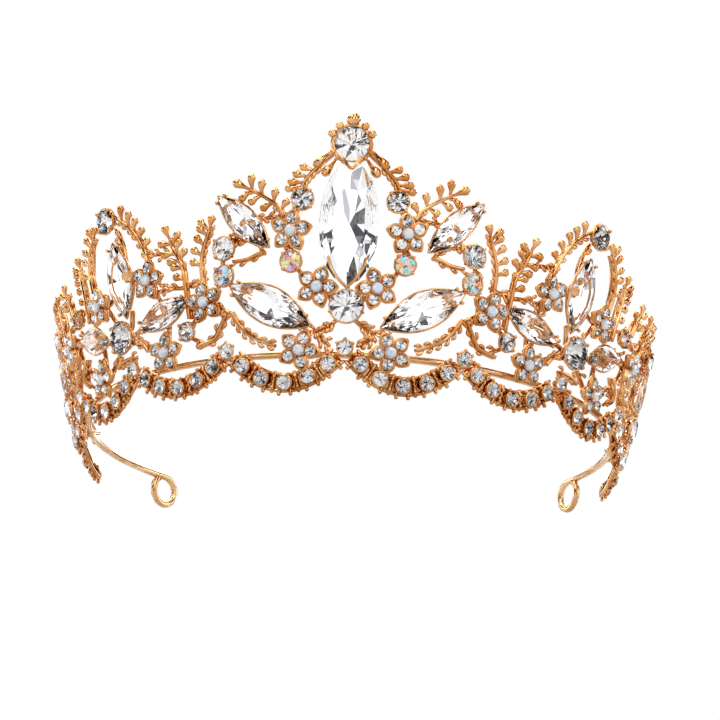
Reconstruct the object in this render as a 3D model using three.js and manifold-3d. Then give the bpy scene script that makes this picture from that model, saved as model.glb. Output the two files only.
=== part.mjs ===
// Bridal tiara: gold-plated castings and set stones on a round wire band with pin eyes.
// Millimetres, +Z up, standing on a table at Z = 0 with its crest towards -Y.
import * as THREE from 'three';
import Module from 'manifold-3d';
import { mergeVertices } from 'three/addons/utils/BufferGeometryUtils.js';

const wasm = await Module();
wasm.setup();

// ---- driving dimensions ----
const WALL_RADIUS = 62.8;        // circle through the junction stones of the scalloped edge
const RING_CENTRE_Y = 16.8;      // puts the origin at the middle of the footprint
const WALL_FLARE = THREE.MathUtils.degToRad(13.2);
const JUNCTION_HEIGHT = 9.85;    // junction stones above the table
const SCALLOP_PITCH = 22.9;      // degrees of the circle that one scallop takes
const SCALLOP_DROPS = [7.3, 6.2, 6.6, 6.7, 6.9];  // stone row at mid scallop, from the front
const LAST_SHARE = 0.5;          // the last scallop ends at its lowest point
const CHAIN_WIDTH = 5.8;
const CHAIN_THICKNESS = 1.4;
const CHAIN_STEPS = 8;           // straight lengths in one scallop
const JUNCTION_RADIUS = 2.2;
const JUNCTION_SIDES = 8;
const ROD_RADIUS = 0.6;
const ROD_PROUD = -0.8;          // rod centres, behind the wall's surface
const ROD_SIDES = 4;
const ROD_STEPS_PER_SPAN = 1.5;
const PLATE_THICKNESS = 1.0;
const PLATE_FACE = -0.15;        // front of the plates, out of the wall's surface
const CLEARANCE = 0.35;
const CUTTER = 400;              // side of the blocks that trim the chains
const WIRE_RADIUS = 0.8;
const WIRE_SIDES = 6;
const WIRE_STEPS = 32;
const EYE_STEPS = 18;
const EYE_POINTS = 12;
const EYE_LEAD = 5;              // degrees of straight wire that an eye starts with
const EYE_LAP = 2;               // degrees by which the band runs into the eye's lead
const WIRE_RING_RADIUS = 60.5;
const WIRE_DROP = 0.7;           // wire centre below the junction stones
const EYE_ANGLES = { left: 130, right: 119.5 };  // the wire is bent by hand, not quite evenly
const EYE_RADIUS = 3.5;          // to the wire's centre line
const EYE_SWEEP = 325;           // degrees that the wire turns round the eye

const GOLD = { color: 0xe0a060, roughness: 0.22, metalness: 1.0 };
const CRYSTAL = { color: 0xeef0f2, roughness: 0.03, metalness: 0.0 };
const AURORA = { color: 0xd8e6f5, roughness: 0.03, metalness: 0.1 };
const OPAL = { color: 0xe6ddd6, roughness: 0.2, metalness: 0.3 };

// ---- stones: degrees round the wall, rise above the junctions, size and turn ----
const CENTRE_STONES = [
  { name: 'crest_round_stone', deg: 0, rise: 42.4, length: 7.3, width: 7.3 },
  { name: 'crest_oval_stone', deg: 0, rise: 25.7, length: 25.8, width: 12.6, turn: 90 },
  { name: 'lower_round_stone', deg: 0, rise: 8.6, length: 6.8, width: 6.8 },
];
const SIDE_STONES = [
  { name: 'shoulder_round_stone', deg: 8.1, rise: 31, length: 4.4, width: 4.4 },
  { name: 'upper_marquise_stone', deg: 18.5, rise: 26.9, length: 16, width: 5.6, turn: 47, pointed: true },
  { name: 'inner_round_stone', deg: 22.5, rise: 21.7, length: 4.8, width: 4.8 },
  { name: 'large_marquise_stone', deg: 13.9, rise: 8.8, length: 19.4, width: 7.6, turn: 28, pointed: true },
  { name: 'upper_aurora_stone', deg: 10.1, rise: 18, length: 4.3, width: 4.3, aurora: true },
  { name: 'lower_aurora_stone', deg: 22.8, rise: 15.9, length: 4.3, width: 4.3, aurora: true },
  { name: 'small_round_stone', deg: 31.4, rise: 5.3, length: 3.8, width: 3.8 },
  { name: 'inner_ray_stone', deg: 36.2, rise: 9.8, length: 14.6, width: 5.6, turn: -16, pointed: true },
  { name: 'upright_ray_stone', deg: 46.2, rise: 19.6, length: 17, width: 7.4, turn: 84, pointed: true },
  { name: 'outer_ray_stone', deg: 57.4, rise: 9.3, length: 13.4, width: 5.6, turn: 16, pointed: true },
  { name: 'large_round_stone', deg: 48, rise: 7.4, length: 7, width: 7 },
  { name: 'peak_round_stone', deg: 48.7, rise: 33.6, length: 5.4, width: 5.4 },
  { name: 'end_upper_stone', deg: 87, rise: 19.4, length: 5.2, width: 5.2 },
  { name: 'end_marquise_stone', deg: 87, rise: 11.2, length: 10, width: 5.2, turn: 90, pointed: true },
  { name: 'end_lower_stone', deg: 85.5, rise: 2.4, length: 6, width: 6 },
];
const STONE_SEAT = 0.2;          // wall's surface to the lowest point of a stone
const CROWN = 0.16;              // heights as parts of a stone's width
const PAVILION = 0.22;
const TABLE = 0.62;              // radius as a part of the girdle's
const FANCY_FACETS = 12;
const ROUND_FACETS = 8;

// ---- flowers: five petals round an opal ----
const FLOWERS = [
  { name: 'crest_flower', deg: 10.1, rise: 24.4 },
  { name: 'cup_flower', deg: 5.4, rise: 12.6 },
  { name: 'inner_flower', deg: 26.9, rise: 10.9 },
  { name: 'valley_flower', deg: 39.3, rise: 17.9 },
  { name: 'outer_flower', deg: 54.2, rise: 16 },
  { name: 'first_edge_flower', deg: 8.6, rise: -0.6 },
  { name: 'second_edge_flower', deg: 36.6, rise: 1.6 },
  { name: 'third_edge_flower', deg: 56.2, rise: 0.3 },
  { name: 'end_flower', deg: 70, rise: 11.4 },
];
const PETALS = 5;
const FLOWER_RADIUS = 2.7;       // mean, to the outline
const PETAL_DEPTH = 0.6;
const HEART_RADIUS = 1.1;
const FLOWER_PROUD = 1.0;
const FLOWER_THICKNESS = 1.3;
const FLOWER_PLATE = 3;          // plate behind a flower

// ---- where one casting ends and the next begins, degrees from the front ----
const CREST_END = 13;
const INNER_END = 34;
const OUTER_END = 95;

// ---- frame rods: [degrees, rise] points, and the leaves that a sprig carries ----
const CREST_RODS = [
  [[0, 46], [0, 30]],
  [[0, 20], [0, 5.2]],
  [[2.6, 42], [5.6, 38.4], [7.8, 35], [8.1, 31]],
  [[8.1, 31], [9.8, 27.5], [10.1, 24.4], [10.4, 21], [10.1, 18]],
  [[10.1, 18], [8, 15], [5.4, 12.6], [2.6, 10.4], [0, 8.6]],
  [[10.1, 21.2], [5, 21.4]],
  [[1.5, 7], [4, 4.6], [4.4, 3.2]],
];
const INNER_RODS = [
  [[19, 27], [13.6, 27.6], [14.2, 31], [17.3, 33.6], [18.6, 37]],
  [[19, 25], [22.8, 21.8], [23.1, 15.9], [18, 10.8]],
  [[23.1, 15.9], [26.9, 10.9], [31.7, 5.3], [28.6, 2.4]],
  [[26.9, 10.9], [27.2, 18], [26.9, 21.4], [25.7, 24.6], [24.6, 27.6]],
  [[31.7, 5.3], [29.6, 9], [29.8, 14], [31, 18], [31.6, 20], [33, 23], [33.7, 28]],
  [[28.6, 2.4], [25.4, 3.4], [22.4, 8], [20, 5], [17, 3.2], [14, 5]],
  [[22.4, 8], [26.9, 10.9]],
  [[27.1, 16], [30.4, 15]],
];
const OUTER_RODS = [
  [[36.2, 9.8], [39.3, 17.9], [39.5, 23], [41.3, 28], [43.6, 31.4], [48.7, 33.6]],
  [[39.3, 17.9], [44.5, 19.5]],
  [[46.2, 19.6], [46.4, 27.6], [48.7, 33.6]],
  [[36.2, 9.8], [43, 8.4], [48, 7.4], [54.6, 8], [57.4, 9.3]],
  [[46, 12.6], [48, 7.4], [54.2, 16]],
  [[51, 17], [54.2, 16], [60.1, 17], [60.5, 22], [60.8, 28], [60.8, 32]],
  [[54.2, 16], [56.3, 20], [56.4, 25], [54.8, 30], [48.7, 33.6]],
  [[36.2, 9.8], [36.8, 5], [36.6, 1.6]],
  [[36.6, 1.6], [42.6, 4.6], [48, 7.4], [56.2, 1.2], [57.4, 9.3]],
  [[57.4, 9.3], [65.6, 12.6], [70, 11.4], [76, 13.6], [83, 12], [87, 11.2]],
  [[60.1, 17], [67.2, 18], [74, 17], [80, 19.8], [87, 19.4]],
  [[67.2, 18], [68.6, 22], [70.4, 25.4]],
  [[74, 17], [76, 21.6], [78, 26]],
  [[82.6, 19.6], [83.2, 23], [83, 27]],
  [[87, 11.2], [91.6, 12], [92.4, 16], [90.8, 20.6]],
  [[87, 22], [87, 2.6], [80, 4.6], [74, 7], [70, 11.4]],
  [[70, 11.4], [66, 5.4], [62, 3.4], [56.2, 1.2]],
  [[87, 11.2], [94, 9.6], [100.6, 6.8], [105.4, 3.4]],
  [[105.4, 3.4], [98.6, 1.6], [93.4, 4.4], [87, 5]],
];
const CREST_LEAVES = [[6.6, 39.2], [10.2, 35]];
const INNER_LEAVES = [
  [18.8, 38.4], [15.4, 35.4], [12.6, 32.8], [28.6, 22.4], [24.6, 29], [25, 20.6],
  [33.8, 29], [33.6, 20.8], [29.4, 20.6], [18.6, 1.4],
];
const OUTER_LEAVES = [
  [38.9, 28], [43, 33.6], [46.6, 35.8], [41.6, 23.6], [53.6, 33.6], [58, 27.4], [54, 25.2],
  [60.9, 33.8], [62.8, 27], [71, 27.4], [67, 24], [78.8, 28], [75, 25], [83, 29],
  [85.6, 24.6], [90.4, 22.4], [94.4, 15], [64.6, 1.6], [97.6, 11.6], [102.6, 9], [107.6, 5.4],
];
const LEAF_TIP_RADIUS = 0.95;
const LEAF_SIDES = 4;
const ROD_SAMPLES = 24;          // places on a rod where a leaf may start
const PLATE_MARGIN = 0.45;

// ---- the flared wall ----
function wallPoint(deg, rise, proud = 0) {
  const angle = THREE.MathUtils.degToRad(deg);
  const radius = WALL_RADIUS + rise * Math.sin(WALL_FLARE) + proud * Math.cos(WALL_FLARE);
  const z = JUNCTION_HEIGHT + rise * Math.cos(WALL_FLARE) - proud * Math.sin(WALL_FLARE);
  return new THREE.Vector3(radius * Math.sin(angle), -radius * Math.cos(angle), z);
}

// Local frame on the wall: x round the wall, y up the slope, z out of it; turn is about z.
function wallSeat(deg, rise, proud = 0, turn = 0) {
  const angle = THREE.MathUtils.degToRad(deg);
  const along = new THREE.Vector3(Math.cos(angle), Math.sin(angle), 0);
  const up = wallPoint(deg, 1).sub(wallPoint(deg, 0));
  const out = new THREE.Vector3().crossVectors(along, up);
  const seat = new THREE.Matrix4().makeBasis(along, up, out);
  seat.multiply(new THREE.Matrix4().makeRotationZ(THREE.MathUtils.degToRad(turn)));
  return seat.setPosition(wallPoint(deg, rise, proud));
}

// ---- solids ----
function toSolid(geometry) {
  const bare = geometry.index ? geometry.clone() : geometry;
  bare.deleteAttribute('normal');
  bare.deleteAttribute('uv');
  const merged = mergeVertices(bare, 1e-4);
  const vertProperties = Float32Array.from(merged.attributes.position.array);
  const triVerts = Uint32Array.from(merged.index.array);
  return new wasm.Manifold(new wasm.Mesh({ numProp: 3, vertProperties, triVerts }));
}

function toGeometry(solid) {
  const mesh = solid.getMesh();
  const geometry = new THREE.BufferGeometry();
  geometry.setAttribute('position', new THREE.BufferAttribute(mesh.vertProperties, 3));
  geometry.setIndex(new THREE.BufferAttribute(mesh.triVerts, 1));
  return geometry;
}

function join(geometries) {
  const solids = geometries.map(toSolid);
  return solids.reduce((sum, solid) => sum.add(solid));
}

function polygon(radius, sides) {
  const corners = [];
  for (let i = 0; i < sides; i += 1) {
    const angle = (2 * Math.PI * i) / sides;
    corners.push(new THREE.Vector2(radius * Math.cos(angle), radius * Math.sin(angle)));
  }
  return new THREE.Shape(corners);
}

function rodAlong(points, radius, sides, steps) {
  const extrudePath = new THREE.CatmullRomCurve3(points);
  return new THREE.ExtrudeGeometry(polygon(radius, sides), { steps, extrudePath });
}

function wallPath(points, side) {
  return new THREE.CatmullRomCurve3(points.map(([deg, rise]) => wallPoint(side * deg, rise, ROD_PROUD)));
}

function wallRod(points, side) {
  const steps = Math.ceil(ROD_STEPS_PER_SPAN * (points.length - 1));
  return rodAlong(wallPath(points, side).points, ROD_RADIUS, ROD_SIDES, steps);
}

// A leaf is a short tapered bud, from the nearest point of the rods out to its tip.
function wallLeaf([deg, rise], rods, side) {
  const tip = wallPoint(side * deg, rise, ROD_PROUD);
  const samples = rods.flatMap((rod) => wallPath(rod, side).getSpacedPoints(ROD_SAMPLES));
  const distance = (point) => point.distanceTo(tip);
  const root = samples.reduce((best, point) => (distance(point) < distance(best) ? point : best));
  const leaf = new THREE.CylinderGeometry(LEAF_TIP_RADIUS, ROD_RADIUS / 2, distance(root), LEAF_SIDES);
  const heading = new THREE.Vector3().subVectors(tip, root).normalize();
  leaf.applyQuaternion(new THREE.Quaternion().setFromUnitVectors(new THREE.Vector3(0, 1, 0), heading));
  const middle = new THREE.Vector3().addVectors(tip, root).multiplyScalar(0.5);
  return leaf.translate(middle.x, middle.y, middle.z);
}

// A flat-backed plate under a stone or flower.
function wallPlate({ deg, rise, length, width, turn = 0 }, side) {
  const sides = length > 4 ? 8 : 6;
  const plate = new THREE.CylinderGeometry(1, 1, PLATE_THICKNESS, sides);
  plate.rotateX(Math.PI / 2);
  plate.scale(length / 2 - PLATE_MARGIN, width / 2 - PLATE_MARGIN, 1);
  plate.translate(0, 0, PLATE_FACE - PLATE_THICKNESS / 2);
  return plate.applyMatrix4(wallSeat(side * deg, rise, 0, side * turn));
}

// A faceted stone: table, crown, girdle and pointed back; pointed stones have lens outlines.
function stoneGeometry({ length, width, pointed = false }) {
  const girdle = PAVILION * width;
  const top = girdle + CROWN * width;
  const profile = [[0, 0], [1, girdle], [TABLE, top], [0, top]];
  const points = profile.map(([r, y]) => new THREE.Vector2(r, y));
  const stone = new THREE.LatheGeometry(points, length > width ? FANCY_FACETS : ROUND_FACETS);
  stone.rotateX(Math.PI / 2);
  const position = stone.attributes.position;
  for (let i = 0; i < position.count; i += 1) {
    const x = position.getX(i);
    const y = position.getY(i);
    const r = Math.hypot(x, y);
    const taper = pointed && r > 0 ? Math.abs(y) / r : 1;
    position.setXY(i, (x * length) / 2, (y * taper * width) / 2);
  }
  return stone;
}

function flowerGeometry() {
  const outline = [];
  const corners = 4 * PETALS;
  for (let i = 0; i < corners; i += 1) {
    const angle = (2 * Math.PI * i) / corners;
    const radius = FLOWER_RADIUS + PETAL_DEPTH * Math.cos(PETALS * angle);
    outline.push(new THREE.Vector2(radius * Math.sin(angle), radius * Math.cos(angle)));
  }
  const settings = { depth: FLOWER_THICKNESS, bevelEnabled: false };
  const petals = new THREE.ExtrudeGeometry(new THREE.Shape(outline), settings);
  const heart = new THREE.CylinderGeometry(HEART_RADIUS, HEART_RADIUS, FLOWER_THICKNESS, PETALS);
  heart.rotateX(Math.PI / 2);
  heart.translate(0, 0, FLOWER_THICKNESS);
  return toGeometry(join([petals, heart]));
}

// ---- castings ----
function scallopPath(index, side) {
  const points = [];
  const share = index === SCALLOP_DROPS.length - 1 ? LAST_SHARE : 1;
  for (let i = 0; i <= CHAIN_STEPS; i += 1) {
    const t = (share * i) / CHAIN_STEPS;
    const rise = -SCALLOP_DROPS[index] * (1 - (2 * t - 1) ** 2);
    const arc = THREE.MathUtils.degToRad((index + t) * SCALLOP_PITCH) * WALL_RADIUS;
    points.push(new THREE.Vector3(side * arc, rise, 0));
  }
  return new THREE.CatmullRomCurve3(points);
}

// Rolls a flat pattern (x along the circle, y up the slope, z out) onto the wall.
function rollOntoWall(geometry) {
  const position = geometry.attributes.position;
  for (let i = 0; i < position.count; i += 1) {
    const deg = THREE.MathUtils.radToDeg(position.getX(i) / WALL_RADIUS);
    const point = wallPoint(deg, position.getY(i), position.getZ(i));
    position.setXYZ(i, point.x, point.y, point.z);
  }
  return geometry;
}

function scallopChain(side) {
  const section = new THREE.Shape([
    new THREE.Vector2(-CHAIN_THICKNESS / 2, -CHAIN_WIDTH / 2),
    new THREE.Vector2(CHAIN_THICKNESS / 2, -CHAIN_WIDTH / 2),
    new THREE.Vector2(CHAIN_THICKNESS / 2, CHAIN_WIDTH / 2),
    new THREE.Vector2(-CHAIN_THICKNESS / 2, CHAIN_WIDTH / 2),
  ]);
  const parts = SCALLOP_DROPS.map((drop, index) => {
    const extrudePath = scallopPath(index, side);
    return rollOntoWall(new THREE.ExtrudeGeometry(section, { steps: CHAIN_STEPS, extrudePath }));
  });
  for (let k = 0; k < SCALLOP_DROPS.length; k += 1) {
    const boss = new THREE.CylinderGeometry(1, 1, CHAIN_THICKNESS, JUNCTION_SIDES);
    boss.rotateX(Math.PI / 2).scale(JUNCTION_RADIUS, JUNCTION_RADIUS, 1);
    parts.push(boss.applyMatrix4(wallSeat(side * k * SCALLOP_PITCH, 0)));
  }
  return join(parts);
}

// A block larger than the tiara, with one face at the given offset from the origin.
function cuttingBlock(x, z) {
  const block = new THREE.BoxGeometry(CUTTER, CUTTER, CUTTER);
  block.translate(x, 0, z);
  return toSolid(block);
}

// The lowest edge is ground flat at Z = 0, and the two chains meet with a small gap at the front.
function castChain(side) {
  const belowTable = cuttingBlock(0, -CUTTER / 2);
  const otherSide = cuttingBlock(side * (CLEARANCE - CUTTER) / 2, 0);
  return toGeometry(scallopChain(side).subtract(belowTable).subtract(otherSide));
}

function casting(rods, leaves, plates, sides) {
  const parts = [];
  for (const side of sides) {
    rods.forEach((rod) => parts.push(wallRod(rod, side)));
    leaves.forEach((leaf) => parts.push(wallLeaf(leaf, rods, side)));
    plates.forEach((plate) => parts.push(wallPlate(plate, side)));
  }
  return toGeometry(join(parts));
}

function platesBetween(from, to) {
  const plate = { length: FLOWER_PLATE, width: FLOWER_PLATE };
  const flowerPlates = FLOWERS.map((flower) => ({ ...flower, ...plate }));
  const raised = [...SIDE_STONES, ...flowerPlates];
  return raised.filter((item) => item.deg > from && item.deg < to);
}

// ---- wire band with its two eyes ----
function wirePoint(deg, drop) {
  const angle = THREE.MathUtils.degToRad(deg);
  const z = JUNCTION_HEIGHT - WIRE_DROP - drop;
  return new THREE.Vector3(WIRE_RING_RADIUS * Math.sin(angle), -WIRE_RING_RADIUS * Math.cos(angle), z);
}

function eyePath(angle, side) {
  const points = [wirePoint(side * (angle - EYE_LEAD), 0)];
  for (let i = 0; i <= EYE_POINTS; i += 1) {
    const sweep = THREE.MathUtils.degToRad((EYE_SWEEP * i) / EYE_POINTS);
    const along = THREE.MathUtils.radToDeg((EYE_RADIUS * Math.sin(sweep)) / WIRE_RING_RADIUS);
    points.push(wirePoint(side * (angle + along), EYE_RADIUS * (1 - Math.cos(sweep))));
  }
  return points;
}

function wireBand() {
  const arc = [];
  const first = EYE_LEAD - EYE_LAP - EYE_ANGLES.left;
  const last = EYE_ANGLES.right - EYE_LEAD + EYE_LAP;
  for (let i = 0; i <= WIRE_STEPS; i += 1) {
    arc.push(wirePoint(THREE.MathUtils.lerp(first, last, i / WIRE_STEPS), 0));
  }
  const parts = [rodAlong(arc, WIRE_RADIUS, WIRE_SIDES, WIRE_STEPS)];
  for (const path of [eyePath(EYE_ANGLES.left, -1), eyePath(EYE_ANGLES.right, 1)]) {
    parts.push(rodAlong(path, WIRE_RADIUS, WIRE_SIDES, EYE_STEPS));
  }
  return toGeometry(join(parts));
}

// ---- the assembly ----
const tiara = new THREE.Group();
tiara.position.y = RING_CENTRE_Y;

function addPiece(name, geometry, finish) {
  const mesh = new THREE.Mesh(geometry, new THREE.MeshStandardMaterial(finish));
  mesh.name = name;
  tiara.add(mesh);
  return mesh;
}

function addStone(stone, name, side) {
  const finish = stone.aurora ? AURORA : CRYSTAL;
  const mesh = addPiece(name, stoneGeometry(stone), finish);
  const turn = side * (stone.turn ?? 0);
  mesh.applyMatrix4(wallSeat(side * stone.deg, stone.rise, STONE_SEAT, turn));
}

addPiece('wire_band', wireBand(), GOLD);
addPiece('crest_casting', casting(CREST_RODS, CREST_LEAVES, [
  ...CENTRE_STONES,
  ...platesBetween(0, CREST_END).filter((item) => item.rise > 0),
], [-1, 1]), GOLD);
CENTRE_STONES.forEach((stone) => addStone(stone, stone.name, 1));

for (const [label, side] of [['left', -1], ['right', 1]]) {
  addPiece(`scallop_chain_${label}`, castChain(side), GOLD);
  const innerPlates = platesBetween(CREST_END, INNER_END);
  const outerPlates = platesBetween(INNER_END, OUTER_END);
  addPiece(`inner_casting_${label}`, casting(INNER_RODS, INNER_LEAVES, innerPlates, [side]), GOLD);
  addPiece(`outer_casting_${label}`, casting(OUTER_RODS, OUTER_LEAVES, outerPlates, [side]), GOLD);
  SIDE_STONES.forEach((stone) => addStone(stone, `${stone.name}_${label}`, side));
  FLOWERS.forEach((flower) => {
    const mesh = addPiece(`${flower.name}_${label}`, flowerGeometry(), OPAL);
    mesh.applyMatrix4(wallSeat(side * flower.deg, flower.rise, FLOWER_PROUD));
  });
}

export default tiara;
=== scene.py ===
"""Bridal tiara: the detailed castings, stones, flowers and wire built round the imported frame."""
import math
import random

import bpy
import numpy as np
from mathutils import Matrix, Vector


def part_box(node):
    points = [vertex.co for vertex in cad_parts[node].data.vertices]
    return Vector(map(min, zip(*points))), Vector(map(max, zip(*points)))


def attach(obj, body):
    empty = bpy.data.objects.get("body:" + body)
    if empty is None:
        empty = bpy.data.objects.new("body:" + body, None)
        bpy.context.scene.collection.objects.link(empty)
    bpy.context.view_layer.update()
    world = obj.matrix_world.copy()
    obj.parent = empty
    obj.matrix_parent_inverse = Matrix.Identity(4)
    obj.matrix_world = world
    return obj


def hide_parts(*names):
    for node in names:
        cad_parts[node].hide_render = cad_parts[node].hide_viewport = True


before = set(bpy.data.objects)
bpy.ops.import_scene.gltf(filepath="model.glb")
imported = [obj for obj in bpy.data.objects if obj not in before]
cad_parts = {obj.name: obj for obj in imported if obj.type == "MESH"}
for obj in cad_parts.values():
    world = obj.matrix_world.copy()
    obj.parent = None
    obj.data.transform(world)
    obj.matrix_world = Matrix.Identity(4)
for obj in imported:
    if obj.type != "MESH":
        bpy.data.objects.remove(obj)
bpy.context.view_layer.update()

MM = 0.001
SIDES = (("left", -1), ("right", 1))

# ---- driving dimensions, millimetres and degrees, as in the CAD part ----
WALL_RADIUS = 62.8
WALL_FLARE = math.radians(13.2)
JUNCTION_HEIGHT = 9.85
SCALLOP_PITCH = 22.9
SCALLOP_DROPS = (7.3, 6.2, 6.6, 6.7, 6.9)
LAST_SHARE = 0.5
WIRE_RADIUS = 0.8
WIRE_RING_RADIUS = 60.5
WIRE_DROP = 0.7
EYE_ANGLES = (130, 119.5)
EYE_RADIUS = 3.5
EYE_SWEEP = 325
EYE_BEND = 3             # degrees of the band given up to the bend into each eye
CREST_END, INNER_END, OUTER_END = 13, 34, 95     # where each casting ends, going round from the front
STONE_SEAT = 0.2
FLOWER_PROUD = 1.0
RING_CENTRE_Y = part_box("wire_band")[0][1] / MM + WIRE_RING_RADIUS + WIRE_RADIUS

# ---- stones: [node, degrees, rise, length, width, turn, pointed] ----
CENTRE_STONES = [
    ("crest_round_stone", 0, 42.4, 7.3, 7.3, 0, False),
    ("crest_oval_stone", 0, 25.7, 25.8, 12.6, 90, False),
    ("lower_round_stone", 0, 8.6, 6.8, 6.8, 0, False),
]
SIDE_STONES = [
    ("shoulder_round_stone", 8.1, 31, 4.4, 4.4, 0, False),
    ("upper_marquise_stone", 18.5, 26.9, 16, 5.6, 47, True),
    ("inner_round_stone", 22.5, 21.7, 4.8, 4.8, 0, False),
    ("large_marquise_stone", 13.9, 8.8, 19.4, 7.6, 28, True),
    ("upper_aurora_stone", 10.1, 18, 4.3, 4.3, 0, False),
    ("lower_aurora_stone", 22.8, 15.9, 4.3, 4.3, 0, False),
    ("small_round_stone", 31.4, 5.3, 3.8, 3.8, 0, False),
    ("inner_ray_stone", 36.2, 9.8, 14.6, 5.6, -16, True),
    ("upright_ray_stone", 46.2, 19.6, 17, 7.4, 84, True),
    ("outer_ray_stone", 57.4, 9.3, 13.4, 5.6, 16, True),
    ("large_round_stone", 48, 7.4, 7, 7, 0, False),
    ("peak_round_stone", 48.7, 33.6, 5.4, 5.4, 0, False),
    ("end_upper_stone", 87, 19.4, 5.2, 5.2, 0, False),
    ("end_marquise_stone", 87, 11.2, 10, 5.2, 90, True),
    ("end_lower_stone", 85.5, 2.4, 6, 6, 0, False),
]
# ---- flowers: [node, degrees, rise, turn] ----
FLOWERS = [
    ("crest_flower", 10.1, 24.4, 8),
    ("cup_flower", 5.4, 12.6, 20),
    ("inner_flower", 26.9, 10.9, -10),
    ("valley_flower", 39.3, 17.9, 14),
    ("outer_flower", 54.2, 16, 0),
    ("first_edge_flower", 8.6, -0.6, 24),
    ("second_edge_flower", 36.6, 1.6, 6),
    ("third_edge_flower", 56.2, 0.3, 16),
    ("end_flower", 70, 11.4, -8),
]


# ---- the flared wall ----
def wall_point(deg, rise, proud=0.0):
    angle = math.radians(deg)
    radius = WALL_RADIUS + rise * math.sin(WALL_FLARE) + proud * math.cos(WALL_FLARE)
    z = JUNCTION_HEIGHT + rise * math.cos(WALL_FLARE) - proud * math.sin(WALL_FLARE)
    return np.array([radius * math.sin(angle), RING_CENTRE_Y - radius * math.cos(angle), z])


def wall_axes(deg, turn=0.0):
    """Rows: along the wall, up its slope and out of it, with the first two turned about the third."""
    angle = math.radians(deg)
    along = np.array([math.cos(angle), math.sin(angle), 0.0])
    up = wall_point(deg, 1.0) - wall_point(deg, 0.0)
    out = np.cross(along, up)
    c, s = math.cos(math.radians(turn)), math.sin(math.radians(turn))
    return np.array([c * along + s * up, c * up - s * along, out])


class Seat:
    """A place on the wall: at(x, y, z) gives the point x along, y up and z out of it."""

    def __init__(self, deg, rise, proud=0.0, turn=0.0):
        self.origin = wall_point(deg, rise, proud)
        self.axes = wall_axes(deg, turn)

    def at(self, x, y, z=0.0):
        return self.origin + np.array([x, y, z]) @ self.axes


def mm_per_degree(rise):
    return math.radians(WALL_RADIUS + rise * math.sin(WALL_FLARE))


def beside(place, direction, distance):
    """The (degrees, rise) reached from a place, going a distance along a flat direction."""
    deg, rise = place
    dx, dy = direction
    return (deg + distance * dx / mm_per_degree(rise), rise + distance * dy)


def mirrored(side, places):
    return [(side * deg, rise) for deg, rise in places]


# ---- curves in the flat pattern ----
def spline(points, per_span=8):
    """A smooth curve through the points (Catmull-Rom)."""
    pts = np.array(points, dtype=float)
    pts = np.vstack([2 * pts[0] - pts[1], pts, 2 * pts[-1] - pts[-2]])
    out = []
    for a, b, c, d in zip(pts[:-3], pts[1:-2], pts[2:-1], pts[3:]):
        for t in np.arange(per_span) / per_span:
            out.append(0.5 * (2 * b + (c - a) * t + (2 * a - 5 * b + 4 * c - d) * t * t
                              + (3 * b - a - 3 * c + d) * t ** 3))
    out.append(pts[-2])
    return np.array(out)


# ---- mesh building ----
CAP_REACH = (0.95, 0.7)      # a wire's rounded end: two more rings, as parts of the radius
CAP_SIZES = (0.3, 0.75)


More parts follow.
